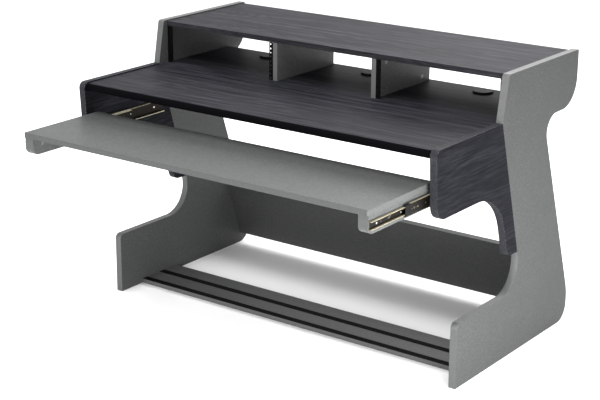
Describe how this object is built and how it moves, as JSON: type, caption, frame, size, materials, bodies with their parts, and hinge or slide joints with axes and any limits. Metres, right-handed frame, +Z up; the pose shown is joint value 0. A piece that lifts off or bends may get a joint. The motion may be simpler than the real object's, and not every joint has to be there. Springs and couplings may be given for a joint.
{
  "type": "studio computer desk",
  "caption": "Studio computer desk with C-shaped side panels, a pull-out keyboard tray, a raised shelf over rack bays, a footrest and a back panel.",
  "frame": {"origin": "on the floor, under the middle of the whole desk with its tray pulled out, 147.75 mm behind the fronts of the feet", "axes": "+X to the right as the user sits, +Y away from the user towards the back, +Z up"},
  "size_m": [1.46, 1.2194, 0.977],
  "materials": {
    "grey_board": "mid grey speckled melamine",
    "dark_board": "anthracite wood-grain melamine",
    "tray_grey_board": "light grey speckled melamine",
    "ribbed_rubber": "matt, finely ribbed",
    "black_steel": "satin black powder coat",
    "black_plastic": "fine matt",
    "zinc_plated_steel": "yellowish zinc plate",
    "cage_steel": "bright zinc plate",
    "bearing_steel": "polished",
    "zinc_casting": "plain die casting",
    "fixing_steel": "bright zinc plate",
    "beech": "plain, fluted in reality"
  },
  "bodies": {
    "desk": {"side_panel_left": "grey_board", "side_panel_right": "grey_board", "divider_left": "grey_board", "divider_right": "grey_board", "back_panel": "grey_board", "footrest_board": "grey_board", "arm_left": "dark_board", "arm_right": "dark_board", "desktop": "dark_board", "top_shelf": "dark_board", "footrest_strip_front": "ribbed_rubber", "footrest_strip_rear": "ribbed_rubber", "rack_rail_left_outer": "black_steel", "rack_rail_left_inner": "black_steel", "rack_rail_right_inner": "black_steel", "rack_rail_right_outer": "black_steel", "rail_screws": "black_steel", "grommet_left_liner": "black_plastic", "grommet_middle_liner": "black_plastic", "grommet_right_liner": "black_plastic", "slide_left_cabinet_member": "zinc_plated_steel", "slide_right_cabinet_member": "zinc_plated_steel", "cam_locks_18mm": "zinc_casting", "cam_locks_25mm": "zinc_casting", "cam_locks_16mm": "zinc_casting", "cam_bolts": "fixing_steel", "divider_cam_bolts": "fixing_steel", "slide_desk_screws": "fixing_steel", "board_dowels": "beech", "arm_dowels": "beech"},
    "tray": {"tray_board": "tray_grey_board", "tray_runner_left_outer": "tray_grey_board", "tray_runner_left_inner": "tray_grey_board", "tray_runner_right_outer": "tray_grey_board", "tray_runner_right_inner": "tray_grey_board", "tray_cam_locks": "zinc_casting", "tray_cam_bolts": "fixing_steel", "tray_dowels": "beech", "slide_tray_screws": "fixing_steel", "slide_left_tray_member": "zinc_plated_steel", "slide_right_tray_member": "zinc_plated_steel"},
    "left_middle_member": {"slide_left_middle_member": "zinc_plated_steel", "slide_left_end_stop": "black_plastic"},
    "left_outer_balls": {"slide_left_outer_cage": "cage_steel", "slide_left_outer_balls": "bearing_steel"},
    "left_inner_balls": {"slide_left_inner_cage": "cage_steel", "slide_left_inner_balls": "bearing_steel"},
    "right_middle_member": {"slide_right_middle_member": "zinc_plated_steel", "slide_right_end_stop": "black_plastic"},
    "right_outer_balls": {"slide_right_outer_cage": "cage_steel", "slide_right_outer_balls": "bearing_steel"},
    "right_inner_balls": {"slide_right_inner_cage": "cage_steel", "slide_right_inner_balls": "bearing_steel"},
    "left_cap": {"grommet_left_cap": "black_plastic"},
    "middle_cap": {"grommet_middle_cap": "black_plastic"},
    "right_cap": {"grommet_right_cap": "black_plastic"}
  },
  "joints": [
    {"name": "tray_slide", "type": "slide", "parent": "desk", "child": "tray", "axis": [0, -1, 0], "range_m": [-0.35, 0]},
    {"name": "left_middle_member_slide", "type": "slide", "parent": "desk", "child": "left_middle_member", "axis": [0, -1, 0], "range_m": [-0.175, 0]},
    {"name": "left_outer_balls_slide", "type": "slide", "parent": "desk", "child": "left_outer_balls", "axis": [0, -1, 0], "range_m": [-0.0875, 0]},
    {"name": "left_inner_balls_slide", "type": "slide", "parent": "desk", "child": "left_inner_balls", "axis": [0, -1, 0], "range_m": [-0.2625, 0]},
    {"name": "right_middle_member_slide", "type": "slide", "parent": "desk", "child": "right_middle_member", "axis": [0, -1, 0], "range_m": [-0.175, 0]},
    {"name": "right_outer_balls_slide", "type": "slide", "parent": "desk", "child": "right_outer_balls", "axis": [0, -1, 0], "range_m": [-0.0875, 0]},
    {"name": "right_inner_balls_slide", "type": "slide", "parent": "desk", "child": "right_inner_balls", "axis": [0, -1, 0], "range_m": [-0.2625, 0]},
    {"name": "left_cap_turn", "type": "hinge", "parent": "desk", "child": "left_cap", "pos_m": [-0.4605, 0.43225, 0.8221], "axis": [0, 0, 1], "continuous": true},
    {"name": "middle_cap_turn", "type": "hinge", "parent": "desk", "child": "middle_cap", "pos_m": [0, 0.43225, 0.8221], "axis": [0, 0, 1], "continuous": true},
    {"name": "right_cap_turn", "type": "hinge", "parent": "desk", "child": "right_cap", "pos_m": [0.4605, 0.43225, 0.8221], "axis": [0, 0, 1], "continuous": true}
  ],
  "couplings": [
    {"joint": "left_middle_member_slide", "follows": "tray_slide", "ratio": 0.5},
    {"joint": "left_outer_balls_slide", "follows": "tray_slide", "ratio": 0.25},
    {"joint": "left_inner_balls_slide", "follows": "tray_slide", "ratio": 0.75},
    {"joint": "right_middle_member_slide", "follows": "tray_slide", "ratio": 0.5},
    {"joint": "right_outer_balls_slide", "follows": "tray_slide", "ratio": 0.25},
    {"joint": "right_inner_balls_slide", "follows": "tray_slide", "ratio": 0.75}
  ]
}
